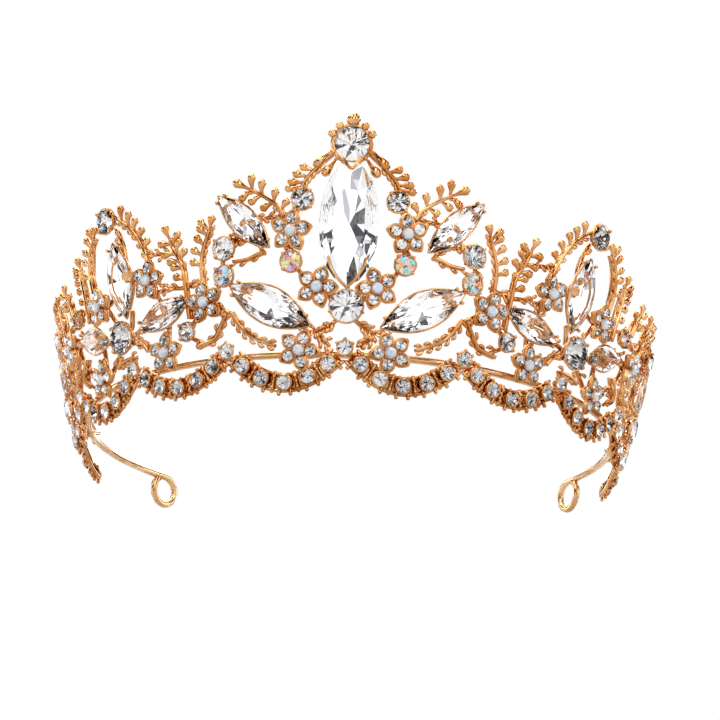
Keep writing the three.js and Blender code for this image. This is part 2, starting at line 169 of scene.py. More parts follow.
class Solid:
    """Collects closed shells, in millimetres, and turns them into one object in metres."""

    def __init__(self):
        self.verts = []
        self.faces = []
        self.materials = []

    def add(self, verts, faces, material=0):
        start = len(self.verts)
        self.verts.extend(np.asarray(verts).tolist())
        self.faces.extend([tuple(start + i for i in face) for face in faces])
        self.materials.extend([material] * len(faces))

    def sweep(self, path, widths, heights, outs, sides=8, closed=False, material=0):
        """An elliptic section along a path; outs is the wall's outward direction at each point."""
        path = np.asarray(path, dtype=float)
        count = len(path)
        widths = np.broadcast_to(widths, count)
        heights = np.broadcast_to(heights, count)
        outs = np.broadcast_to(outs, (count, 3))
        if closed:
            tangents = np.roll(path, -1, axis=0) - np.roll(path, 1, axis=0)
        else:
            tangents = np.gradient(path, axis=0)
        tangents /= np.linalg.norm(tangents, axis=1)[:, None] + 1e-12
        across = np.cross(tangents, outs)
        across /= np.linalg.norm(across, axis=1)[:, None] + 1e-12
        lift = np.cross(across, tangents)
        turn = 2 * math.pi * np.arange(sides) / sides
        ring = (path[:, None, :]
                + across[:, None, :] * (widths[:, None] * np.cos(turn))[:, :, None]
                + lift[:, None, :] * (heights[:, None] * np.sin(turn))[:, :, None])
        verts = ring.reshape(-1, 3)
        faces = []
        for i in range(count if closed else count - 1):
            a = i * sides
            b = ((i + 1) % count) * sides
            for k in range(sides):
                n = (k + 1) % sides
                faces.append((a + k, b + k, b + n, a + n))
        if not closed:
            faces.append(tuple(range(sides)))
            faces.append(tuple((count - 1) * sides + k for k in range(sides))[::-1])
        self.add(verts, faces, material)

    def wire(self, path, radius, outs, sides=8, closed=False, material=0):
        """A round wire with rounded ends."""
        path = np.asarray(path, dtype=float)
        outs = np.broadcast_to(outs, path.shape)
        if closed:
            self.sweep(path, radius, radius, outs, sides, True, material)
            return
        start, end = path[0] - path[1], path[-1] - path[-2]
        start, end = start / np.linalg.norm(start), end / np.linalg.norm(end)
        far, near = CAP_REACH
        path = np.vstack([path[0] + start * radius * far, path[0] + start * radius * near, path,
                          path[-1] + end * radius * near, path[-1] + end * radius * far])
        sizes = np.array(CAP_SIZES) * radius
        radii = np.concatenate([sizes, np.full(len(path) - 4, radius), sizes[::-1]])
        outs = np.vstack([outs[0], outs[0], outs, outs[-1], outs[-1]])
        self.sweep(path, radii, radii, outs, sides, False, material)

    def ball(self, centre, radius, segments=12, material=0):
        rings = segments // 2
        verts = [[0, 0, radius]]
        for i in range(1, rings):
            polar = math.pi * i / rings
            for k in range(segments):
                angle = 2 * math.pi * k / segments
                verts.append([radius * math.sin(polar) * math.cos(angle),
                              radius * math.sin(polar) * math.sin(angle), radius * math.cos(polar)])
        verts.append([0, 0, -radius])
        last = len(verts) - 1
        faces = []
        for k in range(segments):
            n = (k + 1) % segments
            faces.append((0, 1 + k, 1 + n))
            faces.append((last, last - segments + n, last - segments + k))
            for i in range(rings - 2):
                a = 1 + i * segments
                faces.append((a + k, a + segments + k, a + segments + n, a + n))
        self.add(np.array(verts) + centre, faces, material)

    def lathe(self, seat, profile, segments, outline=None, material=0):
        """Profile of (radius factor, height) turned about the seat's outward axis.

        outline(angle) gives the (x, y) of a radius factor of 1; the profile starts and ends at 0."""
        outline = outline or stone_outline(2, 2, False)
        corners = [outline(2 * math.pi * k / segments) for k in range(segments)]
        verts = [seat.at(0, 0, profile[0][1])]
        for r, z in profile[1:-1]:
            verts.extend(seat.at(r * x, r * y, z) for x, y in corners)
        verts.append(seat.at(0, 0, profile[-1][1]))
        last = len(verts) - 1
        rings = len(profile) - 2
        faces = []
        for k in range(segments):
            n = (k + 1) % segments
            faces.append((0, 1 + n, 1 + k))
            faces.append((last, last - segments + k, last - segments + n))
            for i in range(rings - 1):
                a = 1 + i * segments
                faces.append((a + k, a + n, a + segments + n, a + segments + k))
        self.add(verts, faces, material)

    def build(self, name, materials, smooth=True):
        mesh = bpy.data.meshes.new(name)
        verts = (np.array(self.verts) * MM).tolist()
        mesh.from_pydata(verts, [], self.faces)
        for material in materials:
            mesh.materials.append(material)
        mesh.polygons.foreach_set("material_index", self.materials)
        mesh.polygons.foreach_set("use_smooth", [smooth] * len(self.faces))
        mesh.update()
        obj = bpy.data.objects.new(name, mesh)
        bpy.context.scene.collection.objects.link(obj)
        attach(obj, "root")
        return obj


# ---- materials ----
def node_material(name):
    material = bpy.data.materials.new(name)
    material.use_nodes = True
    tree = material.node_tree
    return material, tree.nodes, tree.links, tree.nodes["Principled BSDF"]


def colour_ramp(nodes, stops):
    ramp = nodes.new("ShaderNodeValToRGB")
    while len(ramp.color_ramp.elements) < len(stops):
        ramp.color_ramp.elements.new(0.5)
    for element, (position, colour) in zip(ramp.color_ramp.elements, stops):
        element.position = position
        element.color = (*colour, 1.0)
    return ramp


def colour_mix(nodes, links, factor, first):
    mix = nodes.new("ShaderNodeMix")
    mix.data_type = "RGBA"
    links.new(factor, mix.inputs["Factor"])
    links.new(first, mix.inputs["A"])
    return mix


def noise_texture(nodes, links, scale, detail=3.0):
    coordinates = nodes.new("ShaderNodeTexCoord")
    noise = nodes.new("ShaderNodeTexNoise")
    noise.inputs["Scale"].default_value = scale
    noise.inputs["Detail"].default_value = detail
    links.new(coordinates.outputs["Object"], noise.inputs["Vector"])
    return noise


TONE_SCALE = 160.0       # patches of tone about 6 mm across
WEAR_SCALE = 900.0       # unevenness about 1 mm across
BUMP_DEPTH = 0.0001


def plated_gold(name, deep, bright, roughness, bump):
    """Plating: its tone drifts over the casting, and it is a little softer and uneven up close."""
    material, nodes, links, surface = node_material(name)
    surface.inputs["Metallic"].default_value = 1.0
    tone = noise_texture(nodes, links, TONE_SCALE)
    ramp = colour_ramp(nodes, [(0.35, deep), (0.7, bright)])
    links.new(tone.outputs["Fac"], ramp.inputs["Fac"])
    links.new(ramp.outputs["Color"], surface.inputs["Base Color"])
    wear = noise_texture(nodes, links, WEAR_SCALE, 4.0)
    spread = nodes.new("ShaderNodeMapRange")
    spread.inputs["To Min"].default_value = roughness[0]
    spread.inputs["To Max"].default_value = roughness[1]
    links.new(wear.outputs["Fac"], spread.inputs["Value"])
    links.new(spread.outputs["Result"], surface.inputs["Roughness"])
    relief = nodes.new("ShaderNodeBump")
    relief.inputs["Strength"].default_value = bump
    relief.inputs["Distance"].default_value = BUMP_DEPTH
    links.new(wear.outputs["Fac"], relief.inputs["Height"])
    links.new(relief.outputs["Normal"], surface.inputs["Normal"])
    return material


def clear_crystal():
    material, *_, surface = node_material("clear_crystal")
    surface.inputs["Base Color"].default_value = (1.0, 1.0, 1.0, 1.0)
    surface.inputs["Roughness"].default_value = 0.0
    surface.inputs["IOR"].default_value = 1.56
    surface.inputs["Transmission Weight"].default_value = 1.0
    return material


def faceted_metal(name, roughness, weights, tones):
    """Metal with a tone for each facet, worked out from the way that the facet faces; on the foil these
    tones are painted reflections.
    """
    material, nodes, links, surface = node_material(name)
    surface.inputs["Metallic"].default_value = 1.0
    surface.inputs["Roughness"].default_value = roughness
    coordinates = nodes.new("ShaderNodeTexCoord")
    facet = nodes.new("ShaderNodeVectorMath")
    facet.operation = "DOT_PRODUCT"
    facet.inputs[1].default_value = weights
    links.new(coordinates.outputs["Normal"], facet.inputs[0])
    cycle = nodes.new("ShaderNodeMath")
    cycle.operation = "FRACT"
    links.new(facet.outputs["Value"], cycle.inputs[0])
    ramp = colour_ramp(nodes, tones)
    links.new(cycle.outputs["Value"], ramp.inputs["Fac"])
    links.new(ramp.outputs["Color"], surface.inputs["Base Color"])
    return material


def milky_opal():
    """Milky glass that drifts between blue, white and a warm pink."""
    material, nodes, links, surface = node_material("milky_opal")
    surface.inputs["Roughness"].default_value = 0.12
    surface.inputs["Coat Weight"].default_value = 1.0
    clouds = noise_texture(nodes, links, 700.0)
    ramp = colour_ramp(nodes, [(0.3, (0.38, 0.52, 0.68)), (0.5, (0.62, 0.68, 0.74)),
                               (0.72, (0.78, 0.62, 0.55))])
    links.new(clouds.outputs["Fac"], ramp.inputs["Fac"])
    links.new(ramp.outputs["Color"], surface.inputs["Base Color"])
    return material


GOLD = plated_gold("polished_gold", (0.54, 0.21, 0.05), (0.88, 0.54, 0.26), (0.05, 0.13), 0.06)
WIRE_GOLD = plated_gold("satin_gold", (0.62, 0.35, 0.15), (0.86, 0.6, 0.36), (0.14, 0.26), 0.2)
CRYSTAL = clear_crystal()
# The silvered back of a set stone, with painted reflections: most facets are painted bright, and a few
# are painted dark as if in shadow.
FOIL_WITH_PAINTED_REFLECTIONS = faceted_metal("stone_foil_painted_reflections", 0.04, (7.3, 3.1, 9.7), [
    (0.0, (0.02, 0.02, 0.025)), (0.11, (0.05, 0.05, 0.06)), (0.14, (0.55, 0.56, 0.6)),
    (0.26, (0.75, 0.75, 0.78)), (0.31, (0.97, 0.97, 0.98)), (0.9, (0.99, 0.98, 0.96))])
# A rainbow coating on the back.
AURORA = faceted_metal("aurora_coating", 0.05, (5.3, 2.9, 7.1), [
    (0.0, (0.95, 0.97, 1.0)), (0.16, (1.0, 0.93, 0.4)), (0.34, (1.0, 0.66, 0.25)),
    (0.5, (1.0, 0.45, 0.75)), (0.66, (0.78, 0.84, 1.0)), (0.82, (0.25, 0.8, 0.95)),
    (0.94, (0.85, 1.0, 0.88))])
OPAL = milky_opal()


# ---- stones ----
CROWN = 0.16             # heights as parts of a stone's width
GIRDLE = 0.02
PAVILION = 0.43
FANCY_PAVILION = 0.36
CAD_PAVILION = 0.22
TABLE = 0.56             # radii as parts of the girdle's
KITE = 0.8
LOWER = 0.25
FOLD = 8


def stone_outline(length, width, pointed):
    def outline(angle):
        taper = abs(math.sin(angle)) if pointed else 1.0
        return (math.cos(angle) * length / 2, math.sin(angle) * taper * width / 2)
    return outline


def add_stone(solid, seat, length, width, pointed, girdle, back=PAVILION, foil=0):
    """A brilliant cut: table, star, kite and girdle facets over a pointed back."""
    outline = stone_outline(length, width, pointed)
    step = math.pi / FOLD
    half = math.cos(step)
    crown, edge, depth = CROWN * width, GIRDLE * width, back * width

    def ring(radius, z, offset, count):
        points = []
        for k in range(count):
            x, y = outline(2 * math.pi * k / count + offset)
            points.append(seat.at(radius * x, radius * y, z))
        return points

    kite_fall = (KITE * half - TABLE) / (1 - TABLE)
    verts = ring(TABLE, girdle + edge + crown, step, FOLD)
    verts += ring(KITE, girdle + edge + crown * (1 - kite_fall), 0.0, FOLD)
    verts += ring(1.0, girdle + edge, 0.0, 2 * FOLD)
    verts += ring(1.0, girdle, 0.0, 2 * FOLD)
    verts += ring(LOWER, girdle - depth * (1 - LOWER * half), 0.0, FOLD)
    verts.append(seat.at(0, 0, girdle - depth))
    top, kites, upper, under, lower = 0, FOLD, 2 * FOLD, 4 * FOLD, 6 * FOLD
    culet = 7 * FOLD
    front = [tuple(range(FOLD))]
    rear = []
    for k in range(FOLD):
        n = (k + 1) % FOLD
        before, middle, after = (2 * k - 1) % (2 * FOLD), 2 * k, 2 * k + 1
        front.append((top + (k - 1) % FOLD, kites + k, top + k))
        front.append((top + k, kites + k, upper + after, kites + n))
        front.append((kites + k, upper + middle, upper + after))
        front.append((kites + k, upper + before, upper + middle))
        front.append((upper + middle, under + middle, under + after, upper + after))
        front.append((upper + before, under + before, under + middle, upper + middle))
        rear.append((lower + k, under + after, under + middle))
        rear.append((lower + k, under + middle, under + before))
        rear.append((culet, lower + n, under + after, lower + k))
    start = len(solid.verts)
    solid.add(verts, front)
    solid.faces.extend([tuple(start + i for i in face) for face in rear])
    solid.materials.extend([foil] * len(rear))


def girdle_height(width):
    """Where the CAD part puts the girdle of a stone this wide."""
    return STONE_SEAT + CAD_PAVILION * width


def set_stone(node, side, deg, rise, length, width, turn, pointed):
    solid = Solid()
    seat = Seat(side * deg, rise, 0.0, side * turn)
    aurora = "aurora" in node
    girdle = girdle_height(width)
    if length > width:       # a fancy cut has a clear, shallower back
        add_stone(solid, seat, length, width, pointed, girdle, back=FANCY_PAVILION)
    else:
        add_stone(solid, seat, length, width, pointed, girdle, foil=1)
    stone = solid.build(f"{node}_cut", [CRYSTAL, AURORA if aurora else FOIL_WITH_PAINTED_REFLECTIONS], smooth=False)
    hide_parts(node)


# ---- settings ----
def outline_path(seat, length, width, pointed, margin, z, count):
    outline = stone_outline(length + 2 * margin, width + 2 * margin, pointed)
    return np.array([seat.at(*outline(2 * math.pi * k / count), z) for k in range(count)])


RIM_WIRE = 0.26
RIM_MARGIN = 0.1
RIM_DROP = 0.25              # the rim lies this far under the girdle
BASE_WIRE = 0.36
BASE_SHARE = 0.68            # the base ring's size, as a part of the stone's
POST_WIRE = 0.32
POST_FOOT = 0.62             # where a post starts, as a part of the stone's radius
CLAW_BALL = 0.42
CLAW_MARGIN = 0.25
CLAW_STAND_OFF = 0.45        # the ball claws of a pointed stone stand off its rim
CLAW_LEAN = -0.06            # those of a round one lean in over it
POINTED_CLAWS = (38, 142, 218, 322)      # degrees round the stone
ROUND_CLAWS = (45, 135, 225, 315)
CREST_CLAWS = (20, 160, 200, 340)
CREST_BALL = 0.36
KNEE_DROP, TIP_RISE = 0.3, 0.4           # where a post bends and ends, from the girdle
LONG_STONE = 8                           # stones longer than this get more points round them


def setting(metal, seat, length, width, pointed, claws=None, ball=CLAW_BALL):
    """An open cast setting: a rim at the girdle, a base ring on the wall, posts and ball claws."""
    out = seat.axes[2]
    high = girdle_height(width)
    count = 40 if length > LONG_STONE else 24
    rim = outline_path(seat, length, width, pointed, RIM_MARGIN, high - RIM_DROP, count)
    metal.wire(rim, RIM_WIRE, out, 6, True)
    base = outline_path(seat, length * BASE_SHARE, width * BASE_SHARE, pointed, 0, 0.0, count)
    metal.wire(base, BASE_WIRE, out, 6, True)
    outline = stone_outline(length, width, pointed)
    for angle in claws or (POINTED_CLAWS if pointed else ROUND_CLAWS):
        x, y = outline(math.radians(angle))
        reach = math.hypot(x, y)
        grow = (reach + CLAW_MARGIN) / reach
        foot = seat.at(POST_FOOT * x, POST_FOOT * y, 0.0)
        knee = seat.at(grow * x, grow * y, high - KNEE_DROP)
        lean = CLAW_STAND_OFF / reach if pointed else CLAW_LEAN
        tip = seat.at((grow + lean) * x, (grow + lean) * y, high + TIP_RISE)
        metal.wire(spline([foot, knee, tip], 4), POST_WIRE, out, 6)
        metal.ball(tip, ball, 10)


# ---- sprigs ----
def flat_vectors(path):
    scale = np.array([mm_per_degree(path[:, 1].mean()), 1.0])
    tangents = np.gradient(path * scale, axis=0)
    return tangents / np.linalg.norm(tangents, axis=1)[:, None]


def rotate(vector, angle):
    c, s = math.cos(math.radians(angle)), math.sin(math.radians(angle))
    return np.array([c * vector[0] - s * vector[1], s * vector[0] + c * vector[1]])


def wall_curve(metal, places, radius, proud, sides=8, taper=1.0):
    """A wire that follows the wall through places of (degrees, rise)."""
    path = np.array([wall_point(deg, rise, proud) for deg, rise in places])
    outs = np.array([wall_axes(deg)[2] for deg, rise in places])
    if taper == 1.0:
        metal.wire(path, radius, outs, sides)
        return
    radii = radius * np.linspace(1.0, taper, len(path))
    metal.sweep(path, radii, radii, outs, sides)


LEAF_PROFILE = np.array([0.36, 0.38, 0.43, 0.53, 0.69, 0.87, 1.02, 1.08, 0.92, 0.42])
CURL_PROFILE = np.array([0.5, 0.52, 0.56, 0.62, 0.7, 0.8, 0.86, 0.8, 0.55, 0.2])
LEAF_THICKNESS = 0.4         # half of it, as a part of the leaf's width
LEAF_ARCH = 0.5              # how far a leaf rises from the wall, along this much of a sine
ARCH_TURN = 0.8 * math.pi


def leaf(metal, place, heading, length, width, bend, proud=0.35, profile=LEAF_PROFILE):
    """A club-shaped leaf that starts at a place, and bends as it grows."""
    count = len(profile)
    spot = place
    places = [spot]
    for _ in range(count - 1):
        heading = rotate(heading, bend / (count - 1))
        spot = beside(spot, heading, length / (count - 1))
        places.append(spot)
    lifts = proud + LEAF_ARCH * np.sin(np.linspace(0, ARCH_TURN, count))
    path = np.array([wall_point(deg, rise, lift) for (deg, rise), lift in zip(places, lifts)])
    outs = np.array([wall_axes(deg)[2] for deg, rise in places])
    metal.sweep(path, profile * width / 2, profile * width * LEAF_THICKNESS, outs, 8)


# Full leaves and curls: length, width, angle to the stem, bend along it, and how far out they start.
LEAF_LENGTH, LEAF_WIDTH, LEAF_SPREAD, LEAF_BEND = 3.5, 1.72, 50, 24
CURL_LENGTH, CURL_WIDTH, CURL_SPREAD, CURL_BEND, CURL_PROUD = 2.3, 1.05, 78, 100, 0.3
END_WIDTH, END_PROUD = 1.9, 0.45
LEAF_GROWTH = (0.8, 0.25)                # of a leaf's length: at the stem's root, and more by its tip
LAST_LEAF, LAST_CURL = 0.9, 0.88         # parts of the way along the stem
STEM_RADIUS, STEM_PROUD, STEM_TAPER = 0.52, 0.75, 0.7     # the round stem in front
BACK_RADIUS, BACK_PROUD, BACK_TAPER = 0.55, -0.2, 0.8     # and the rib behind it


def fern(metal, side, stem, full, curls, end):
    """A stem with full leaves and short curls; +1 puts them left of the way that it grows."""
    path = spline(mirrored(side, stem))
    headings = flat_vectors(path)
    wall_curve(metal, path, STEM_RADIUS, STEM_PROUD, 8, STEM_TAPER)
    wall_curve(metal, path, BACK_RADIUS, BACK_PROUD, 6, BACK_TAPER)
    last = len(path) - 1
    for hand, count, first in full:
        for t in np.linspace(first, LAST_LEAF, count):
            i = int(round(t * last))
            size = LEAF_LENGTH * (LEAF_GROWTH[0] + LEAF_GROWTH[1] * t)
            heading = rotate(headings[i], side * hand * LEAF_SPREAD)
            leaf(metal, path[i], heading, size, LEAF_WIDTH, side * hand * LEAF_BEND)
    for hand, count, first in curls:
        for t in np.linspace(first, LAST_CURL, count):
            i = int(round(t * last))
            heading = rotate(headings[i], side * hand * CURL_SPREAD)
            bend = -side * hand * CURL_BEND
            leaf(metal, path[i], heading, CURL_LENGTH, CURL_WIDTH, bend, CURL_PROUD, CURL_PROFILE)
    if end:
        leaf(metal, path[last], headings[last], end, END_WIDTH, 0.0, END_PROUD)


# [stem, full leaves (hand, count, first), curls (hand, count, first), end leaf length]
CREST_FERNS = [
    ([(2.9, 40.8), (5.6, 37.8), (7.6, 35.2), (8.4, 33.2)], [(1, 4, 0.4)], [(-1, 6, 0.3)], 0),
]
# Long leaves down from the crest stone's border: start, heading and length.
CREST_LOOPS = [((3.3, 41.4), (0.62, -0.78), 5.2), ((2.6, 39.4), (0.5, -0.86), 4.4)]
LOOP_WIDTH, LOOP_BEND, LOOP_PROUD = 2.0, 12, 0.5
INNER_FERNS = [
    ([(11.3, 27.6), (12.5, 29.8), (15.2, 32.2), (17.4, 33.7)],
     [(1, 4, 0.15), (-1, 3, 0.4)], [(-1, 2, 0.15)], 3.9),
    ([(15.4, 20.2), (18.4, 19), (21, 18.8)], [], [(-1, 3, 0.15)], 0),
    ([(27, 12.4), (27.3, 18), (26.9, 21.4), (25.8, 24.6), (25.2, 26.4)],
     [(-1, 5, 0.28)], [(1, 6, 0.15)], 2.8),
    ([(30.6, 8), (31, 14), (31.2, 18), (31.8, 20.4), (33, 23), (33.7, 25.6)],
     [(-1, 5, 0.3), (1, 3, 0.6)], [(1, 4, 0.2)], 3.2),
    ([(29.4, 1.7), (25.8, 2.8), (24.3, 5), (22.8, 7.9)], [], [(1, 4, 0.2), (-1, 3, 0.2)], 0),
    ([(21.8, 8.1), (20.4, 5.6), (18.6, 3.3), (16.2, 1.7), (13.3, 0.5)],
     [], [(1, 6, 0.1), (-1, 5, 0.2)], 0),
]
OUTER_FERNS = [
    ([(39.4, 20.4), (39.5, 23.6), (41.3, 28), (43.2, 30.7), (45.8, 33.3)],
     [(1, 5, 0.3)], [(-1, 6, 0.2)], 3.0),
    ([(56, 18.7), (56.6, 23.9), (55.5, 28.5), (53.6, 31.4)], [(-1, 5, 0.3)], [(1, 5, 0.2)], 2.8),
    ([(59.4, 14), (59.8, 20), (60.2, 24), (60.2, 26.4)], [(-1, 5, 0.25)], [(1, 5, 0.2)], 3.0),
    ([(67.4, 18), (68.6, 22), (70, 23.4)], [(-1, 3, 0.3), (1, 2, 0.4)], [], 2.8),
    ([(74, 14), (75, 18), (76.4, 22), (77.6, 23.8)], [(-1, 4, 0.3), (1, 3, 0.3)], [], 2.8),
    ([(82.6, 19.6), (83.2, 23), (82.6, 24)], [(-1, 3, 0.2), (1, 3, 0.2)], [], 2.6),
    ([(89.6, 11.6), (91.8, 13), (92.4, 16), (91, 20)], [(-1, 4, 0.2)], [(1, 4, 0.2)], 2.6),
    ([(50.8, 1.4), (48.6, 2.4), (45.6, 2.6)], [], [(1, 3, 0.1), (-1, 2, 0.2)], 0),
    ([(41.4, 3), (43, 5), (45.4, 5.4)], [], [(1, 4, 0.1)], 0),
    ([(74.6, 1.6), (71.6, 3.2), (69.4, 6.4)], [], [(1, 4, 0.1), (-1, 3, 0.1)], 0),
    ([(63.6, 7), (66, 3), (63.6, 0.6)], [], [(-1, 4, 0.1)], 0),
    ([(90, 10.8), (94, 9.6), (100.6, 6.8), (105.4, 3.4)], [(1, 5, 0.2)], [(-1, 5, 0.2)], 2.8),
    ([(98.6, 1.6), (94, 3.4), (90.4, 6)], [], [(1, 3, 0.2), (-1, 3, 0.2)], 0),
]
# Rods that tie the settings together, as in the CAD part.
CREST_RODS = [
    [[0, 46], [0, 38.4]],
    [[0, 12.8], [0, 5.2]],
    [[8.1, 31], [9.8, 27.5], [10.1, 24.4], [10.4, 21], [10.1, 18]],
    [[10.1, 18], [8, 15], [5.4, 12.6], [2.6, 10.4], [0, 8.6]],
    [[1.5, 6.2], [3.2, 4.6], [5, 3.6], [7.6, 3.2]],
    [[5, 3.6], [4.6, 2.2], [3.2, 0.6]],
]
INNER_RODS = [
    [[19, 27], [14.2, 27.6], [11.3, 27.6]],
    [[19, 25], [22.8, 21.8], [23.1, 15.9], [18, 10.8]],
    [[23.1, 15.9], [26.9, 10.9], [31.7, 5.3], [28.6, 2.4]],
    [[22.4, 8], [26.9, 10.9]],
    [[27.1, 16], [30.4, 15]],
    [[15.4, 20.2], [17, 23], [20, 23], [22.8, 21.8]],
]
OUTER_RODS = [
    [[36.2, 9.8], [38.4, 14], [39.3, 17.9]],
    [[39.3, 17.9], [44.5, 19.5]],
    [[33.2, 22.6], [37.6, 23.4], [39.5, 23.6]],
    [[32.4, 15], [35.6, 15.4], [38.8, 15.2]],
    [[46.2, 19.6], [46.4, 27.6], [48.7, 33.6]],
    [[36.2, 9.8], [43, 8.4], [48, 7.4], [54.6, 8], [57.4, 9.3]],
    [[46, 12.6], [48, 7.4], [54.2, 16]],
    [[51, 17], [54.2, 16], [60.1, 17]],
    [[36.2, 9.8], [36.8, 5], [36.6, 1.6]],
    [[36.6, 1.6], [42.6, 4.6], [48, 7.4], [56.2, 1.2], [57.4, 9.3]],
    [[57.4, 9.3], [65.6, 12.6], [70, 11.4], [76, 13.6], [83, 12], [87, 11.2]],
    [[60.1, 17], [67.2, 18], [74, 17], [80, 19.8], [87, 19.4]],
    [[87, 11.2], [90.4, 14]],
    [[87, 22], [87, 2.6]],
    [[87, 2.6], [80, 4.6], [74, 7], [70, 11.4]],
    [[70, 11.4], [66, 5.4], [62, 3.4], [56.2, 1.2]],
    [[105.4, 3.4], [98.6, 1.6], [93.4, 4.4], [87, 5]],
]

ROD_RADIUS = 0.55
ROD_PROUD = -0.75
UNDER_STONE = 0.62       # rods stop at a round stone's base ring: part of the stone's radius
HOOK_CLEAR = 1.15        # hooks stay further out, in the same measure
HOOK_STEP = 2            # points of the path from one hook to the next
HOOK_WIDTH, HOOK_PROUD = 1.15, -0.2
HOOK_SPREAD, HOOK_LENGTH, HOOK_BEND = (50, 85), (1.7, 2.6), (40, 110)    # least and most
CREST_SEED, INNER_SEED, OUTER_SEED = 11, 23, 37


def under_round_stone(place, share=UNDER_STONE):
    """Whether a place is nearer to a round stone's middle than this part of its radius."""
    for _, deg, rise, length, width, *_ in CENTRE_STONES + SIDE_STONES:
        across = (abs(place[0]) - deg) * mm_per_degree(rise)
        if length == width and math.hypot(across, place[1] - rise) < share * width / 2:
            return True
    return False


def clear_runs(path):
    """The stretches of a path that don't run under a round stone."""
    runs, run = [], []
    for place in path:
        if under_round_stone(place):
            runs.append(run)
            run = []
        else:
            run.append(place)
    runs.append(run)
    return [np.array(run) for run in runs if len(run) > 2]


def rods(metal, lists, side, seed):
    """Tie rods, each with little hooks of filigree along it."""
    chance = random.Random(seed)
    for points in lists:
        path = spline(mirrored(side, points))
        for run in clear_runs(path):
            wall_curve(metal, run, ROD_RADIUS, ROD_PROUD)
        headings = flat_vectors(path)
        hand = 1
        for i in range(HOOK_STEP, len(path) - 1, HOOK_STEP):
            hand = -hand
            heading = rotate(headings[i], hand * chance.uniform(*HOOK_SPREAD))
            size = chance.uniform(*HOOK_LENGTH)
            tip = beside(path[i], heading, size)
            if under_round_stone(path[i], HOOK_CLEAR) or under_round_stone(tip, HOOK_CLEAR):
                continue
            bend = -hand * chance.uniform(*HOOK_BEND)
            leaf(metal, path[i], heading, size, HOOK_WIDTH, bend, HOOK_PROUD, CURL_PROFILE)


# ---- castings ----
def stone_settings(metal, side, low, high):
    """Settings for one side's stones between two angles."""
    for _, deg, rise, length, width, turn, pointed in SIDE_STONES:
        if low < deg < high:
            seat = Seat(side * deg, rise, 0.0, side * turn)
            setting(metal, seat, length, width, pointed)


def finish_casting(metal, name, node):
    piece = metal.build(name, [GOLD])
    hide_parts(node)


BORDER_RADIUS = 4.0
BORDER_WIRE, BORDER_HEIGHT = 0.45, 2.2
BEAD_HEIGHT = 2.6
# Beads on the crest stone's border: degrees round it, radius, and how far they stand out from it.
BORDER_BEADS = [(88, 1.5, 1.0), (54, 0.9, 0.55), (126, 0.9, 0.55), (26, 0.95, 0.6), (154, 0.95, 0.6)]
BORDER_BEADS += [(angle, 0.52, 0.2) for angle in (205, 226, 247, 293, 314, 335)]


def crest_beads(metal):
    """The crest stone's bead border, with a large bead at the top."""
    seat = Seat(0, CENTRE_STONES[0][2])
    path = [seat.at(BORDER_RADIUS * math.cos(a), BORDER_RADIUS * math.sin(a), BORDER_HEIGHT)
            for a in np.linspace(0, 2 * math.pi, 40, endpoint=False)]
    metal.wire(path, BORDER_WIRE, seat.axes[2], 8, True)
    for angle, radius, reach in BORDER_BEADS:
        a = math.radians(angle)
        far = BORDER_RADIUS + reach
        metal.ball(seat.at(far * math.cos(a), far * math.sin(a), BEAD_HEIGHT), radius, 16)


# Points (along, up, out) from the middle of the oval.
CUP_ARM = [(3.9, -7.6, 6.0), (3.2, -9.8, 17 / 3), (1.6, -12.1, 16 / 3), (0, -13.6, 5.0)]
CLIP_LINE = [(-1.9, 13.2, 5.2), (0.2, 10.9, 6.2), (1.9, 13.2, 5.2)]
CUP_WIRE, CLIP_WIRE, HOLD_WIRE = 0.32, 0.4, 0.28
# Posts down from the cup and the clip: along, up, and the heights of top and foot.
OVAL_POSTS = [(0, -13.4, 5.0, ROD_PROUD), (-1.9, 13.2, 5.2, 2.2), (1.9, 13.2, 5.2, 2.2)]


def oval_cup(metal):
    """The V-shaped cup that grips the foot of the oval, the clip over its head, and their posts."""
    seat = Seat(0, CENTRE_STONES[1][2])
    out = seat.axes[2]
    for hand in (-1, 1):
        arm = spline([seat.at(hand * x, y, z) for x, y, z in CUP_ARM], 6)
        metal.wire(arm, CUP_WIRE, out)
    clip = spline([seat.at(x, y, z) for x, y, z in CLIP_LINE], 6)
    metal.wire(clip, CLIP_WIRE, out)
    for x, y, top, foot in OVAL_POSTS:
        post = [seat.at(x, y, z) for z in np.linspace(top, foot, 4)]
        metal.wire(post, HOLD_WIRE, seat.axes[1])


def build_crest():
    metal = Solid()
    for _, deg, rise, length, width, turn, pointed in CENTRE_STONES:
        seat = Seat(deg, rise, 0.0, turn)
        if length == width:
            setting(metal, seat, length, width, pointed, CREST_CLAWS, CREST_BALL)
    crest_beads(metal)
    oval_cup(metal)
    for _, side in SIDES:
        stone_settings(metal, side, 0, CREST_END)
        rods(metal, CREST_RODS, side, CREST_SEED)
        for stem, full, curls, end in CREST_FERNS:
            fern(metal, side, stem, full, curls, end)
        for (deg, rise), heading, length in CREST_LOOPS:
            start, (along, up) = (side * deg, rise), heading
            leaf(metal, start, (side * along, up), length, LOOP_WIDTH, side * LOOP_BEND, LOOP_PROUD)
    finish_casting(metal, "crest_filigree", "crest_casting")


SPRAY_STONE = (64.2, 16.4, 4.0)      # degrees, rise and size of the coated stone in the end spray


def set_spray_stone(metal, label, side):
    deg, rise, size = SPRAY_STONE
    seat = Seat(side * deg, rise)
    setting(metal, seat, size, size, False)
    solid = Solid()
    add_stone(solid, seat, size, size, False, girdle_height(size), foil=1)
    stone = solid.build(f"spray_stone_{label}", [CRYSTAL, AURORA], smooth=False)


def build_side(name, low, high, ferns, ties, seed):
    for label, side in SIDES:
        metal = Solid()
        stone_settings(metal, side, low, high)
        rods(metal, ties, side, seed)
        for stem, full, curls, end in ferns:
            fern(metal, side, stem, full, curls, end)
        if low < SPRAY_STONE[0] < high:
            set_spray_stone(metal, label, side)
        finish_casting(metal, f"{name}_filigree_{label}", f"{name}_casting_{label}")


